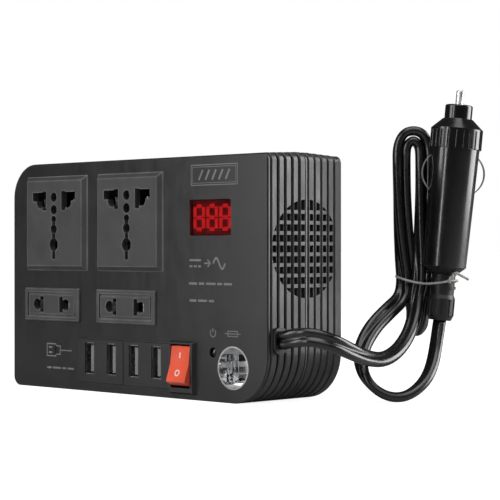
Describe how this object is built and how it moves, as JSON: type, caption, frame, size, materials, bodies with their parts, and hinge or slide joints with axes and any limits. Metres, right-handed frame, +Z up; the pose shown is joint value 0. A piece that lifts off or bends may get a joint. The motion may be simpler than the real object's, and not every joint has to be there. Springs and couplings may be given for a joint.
{
  "type": "power inverter",
  "caption": "Slim upright box with mains and USB outlets, rocker, display and side fan, with a tied lead ending in a lighter plug.",
  "frame": {"origin": "middle of the base, halfway along and through the casing, on the surface it stands on", "axes": "+X along the front to the fan side, +Y from the front panel to the back, +Z up"},
  "size_m": [0.1924, 0.097, 0.1233],
  "materials": {
    "case_plastic": "fine textured black moulding",
    "panel_plastic": "smooth satin black",
    "socket_plastic": "spark-eroded dark grey",
    "usb_plastic": "satin black",
    "rocker_plastic": "glossy translucent red",
    "display_lens": "dark red filter",
    "display_light": "lit red bars",
    "display_body": "dark red module",
    "steel": "zinc plated",
    "shell_steel": "nickel plated sheet",
    "brass": "bright",
    "copper": "enamelled wire",
    "usb_tongue": "white insulator",
    "led_lens": "clear green",
    "fuse_cup_metal": "bright lining",
    "fuse_plastic": "clear",
    "board": "green solder mask",
    "ferrite": "sintered",
    "capacitor_sleeve": "shrink sleeve",
    "aluminium": "mill",
    "chip": "epoxy",
    "fan_plastic": "glass filled black",
    "foam": "open foam strip",
    "rubber": "soft black",
    "wire": "insulated wire",
    "cord_pvc": "glossy black twin flex",
    "tie": "thin covered wire",
    "plug_plastic": "polished black",
    "tip_metal": "nickel plated",
    "spring_steel": "spring wire",
    "glass_fuse": "glass cartridge with metal ends"
  },
  "bodies": {
    "case": {"front_panel": "panel_plastic", "front_shell": "case_plastic", "rear_shell": "case_plastic", "case_screws": "steel", "universal_socket_left": "socket_plastic", "universal_socket_right": "socket_plastic", "two_pin_socket_left": "socket_plastic", "two_pin_socket_right": "socket_plastic", "socket_contacts": "brass", "usb_bezel_left": "usb_plastic", "usb_bezel_right": "usb_plastic", "usb_shells": "shell_steel", "usb_tongues": "usb_tongue", "usb_contacts": "brass", "usb_board": "board", "display_window": "display_lens", "display_segments": "display_light", "display_module": "display_body", "switch_housing": "usb_plastic", "switch_terminals": "brass", "power_led": "led_lens", "fuse_cup": "fuse_cup_metal", "fuse_clips": "brass", "main_board": "board", "board_screws": "steel", "transformer_core": "ferrite", "transformer_winding": "copper", "capacitors": "capacitor_sleeve", "heatsink": "aluminium", "power_transistors": "chip", "output_choke": "copper", "fan_frame": "fan_plastic", "fan_stator": "copper", "fan_gasket": "foam", "cable_grommet": "rubber", "inner_wires": "wire", "cord_lead": "cord_pvc", "cord_hank": "cord_pvc", "cord_tail_loop": "cord_pvc", "twist_tie": "tie", "plug_tail": "rubber", "plug_barrel": "plug_plastic", "plug_fuse": "glass_fuse"},
    "rocker": {"rocker": "rocker_plastic"},
    "fan_rotor": {"fan_rotor": "fan_plastic"},
    "blade_fuse": {"blade_fuse_body": "fuse_plastic", "blade_fuse_blades": "steel"},
    "plug_cap_travel": {"plug_cap_liner": "tip_metal", "plug_tip_spring": "spring_steel"},
    "plug_cap": {"plug_cap": "plug_plastic"},
    "tip_pin": {"plug_tip_pin": "tip_metal"},
    "contact_left": {"plug_contact_left": "spring_steel"},
    "contact_right": {"plug_contact_right": "spring_steel"}
  },
  "joints": [
    {"name": "power_switch", "type": "hinge", "parent": "case", "child": "rocker", "pos_m": [0.0311, -0.0205, 0.0133], "axis": [1, 0, 0], "range_deg": [0, 26]},
    {"name": "fan_spin", "type": "hinge", "parent": "case", "child": "fan_rotor", "pos_m": [0.0686, 0, 0.0597], "axis": [1, 0, 0], "continuous": true},
    {"name": "fuse_pull", "type": "slide", "parent": "case", "child": "blade_fuse", "axis": [0, -1, 0], "range_m": [0, 0.02]},
    {"name": "cap_travel", "type": "slide", "parent": "case", "child": "plug_cap_travel", "axis": [0.0655, 0.0633, 0.9958], "range_m": [0, 0.00375]},
    {"name": "cap_turn", "type": "hinge", "parent": "plug_cap_travel", "child": "plug_cap", "pos_m": [0.0991, 0.0558, 0.0312], "axis": [0.0655, 0.0633, 0.9958], "range_deg": [0, 1080]},
    {"name": "tip_press", "type": "slide", "parent": "plug_cap_travel", "child": "tip_pin", "axis": [-0.0655, -0.0633, -0.9958], "range_m": [0, 0.004], "stiffness_N_per_m": 400, "springref_m": -0.002, "deforming": ["plug_tip_spring"]},
    {"name": "left_contact_press", "type": "slide", "parent": "case", "child": "contact_left", "axis": [0.7163, 0.6918, -0.0911], "range_m": [0, 0.0022], "stiffness_N_per_m": 600, "springref_m": -0.0005},
    {"name": "right_contact_press", "type": "slide", "parent": "case", "child": "contact_right", "axis": [-0.7163, -0.6918, 0.0911], "range_m": [0, 0.0022], "stiffness_N_per_m": 600, "springref_m": -0.0005}
  ],
  "couplings": [
    {"joint": "cap_turn", "follows": "cap_travel", "rad_per_m": 5026.6}
  ]
}
